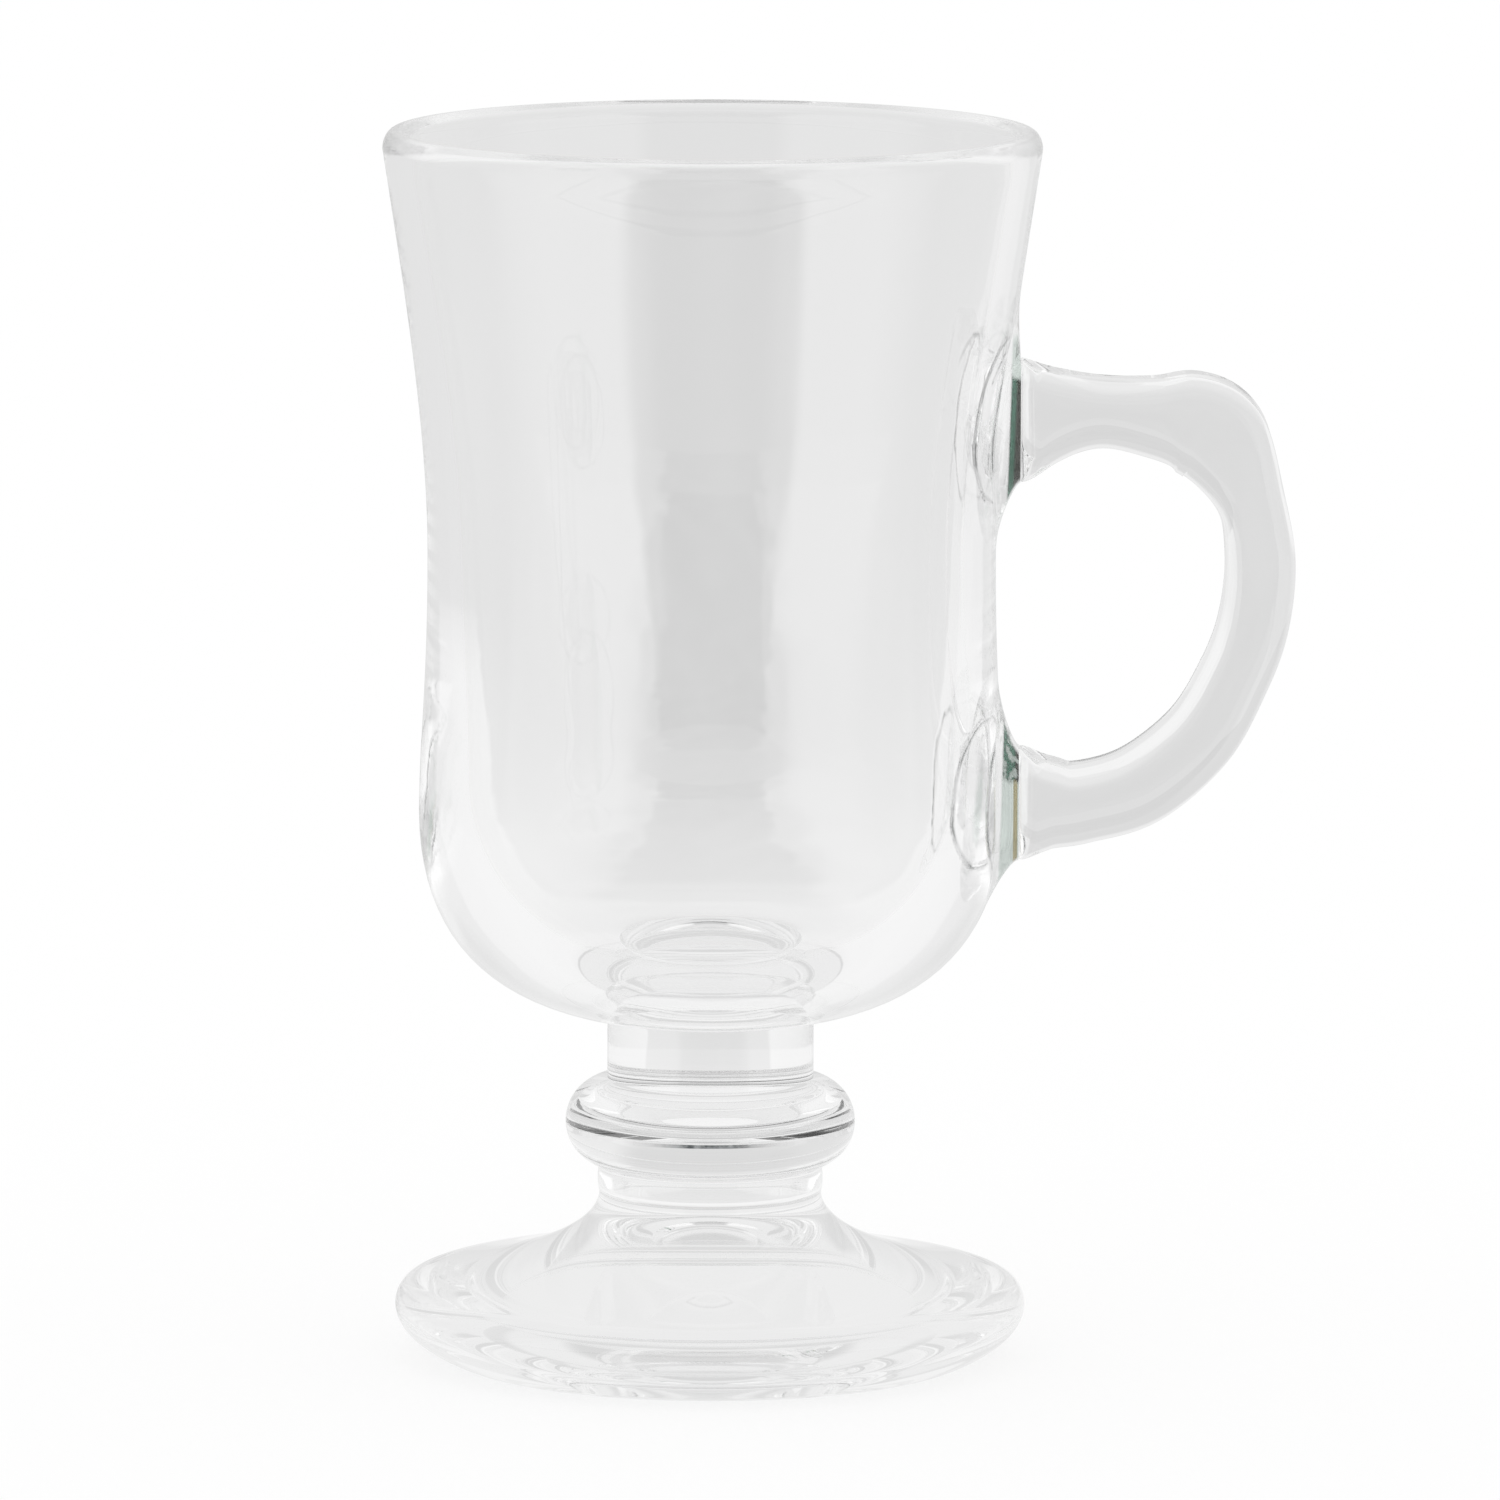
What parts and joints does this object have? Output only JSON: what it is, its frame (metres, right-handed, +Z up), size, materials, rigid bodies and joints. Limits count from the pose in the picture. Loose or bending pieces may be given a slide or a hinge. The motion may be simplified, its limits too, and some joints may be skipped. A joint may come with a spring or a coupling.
{
  "type": "footed glass mug",
  "caption": "Clear glass mug for Irish coffee: flared bowl, short stem with a round knop and a seam, wide hollow foot, and an ear-shaped side handle with a thumb rest.",
  "frame": {"origin": "centre of the ring that the foot stands on, at table level", "axes": "+Z up along the axis of the bowl and stem, +X towards the handle"},
  "size_m": [0.1056, 0.0762, 0.1433],
  "materials": {
    "pressed_glass": "clear fire-polished soda-lime glass",
    "weld_glass": "clear soda-lime glass, greener where it is thick"
  },
  "bodies": {
    "root": {"bowl": "pressed_glass", "stem_collar": "pressed_glass", "knop_upper": "pressed_glass", "knop_lower": "pressed_glass", "foot": "pressed_glass", "handle": "pressed_glass", "upper_handle_pad": "weld_glass", "lower_handle_pad": "weld_glass"}
  },
  "joints": []
}
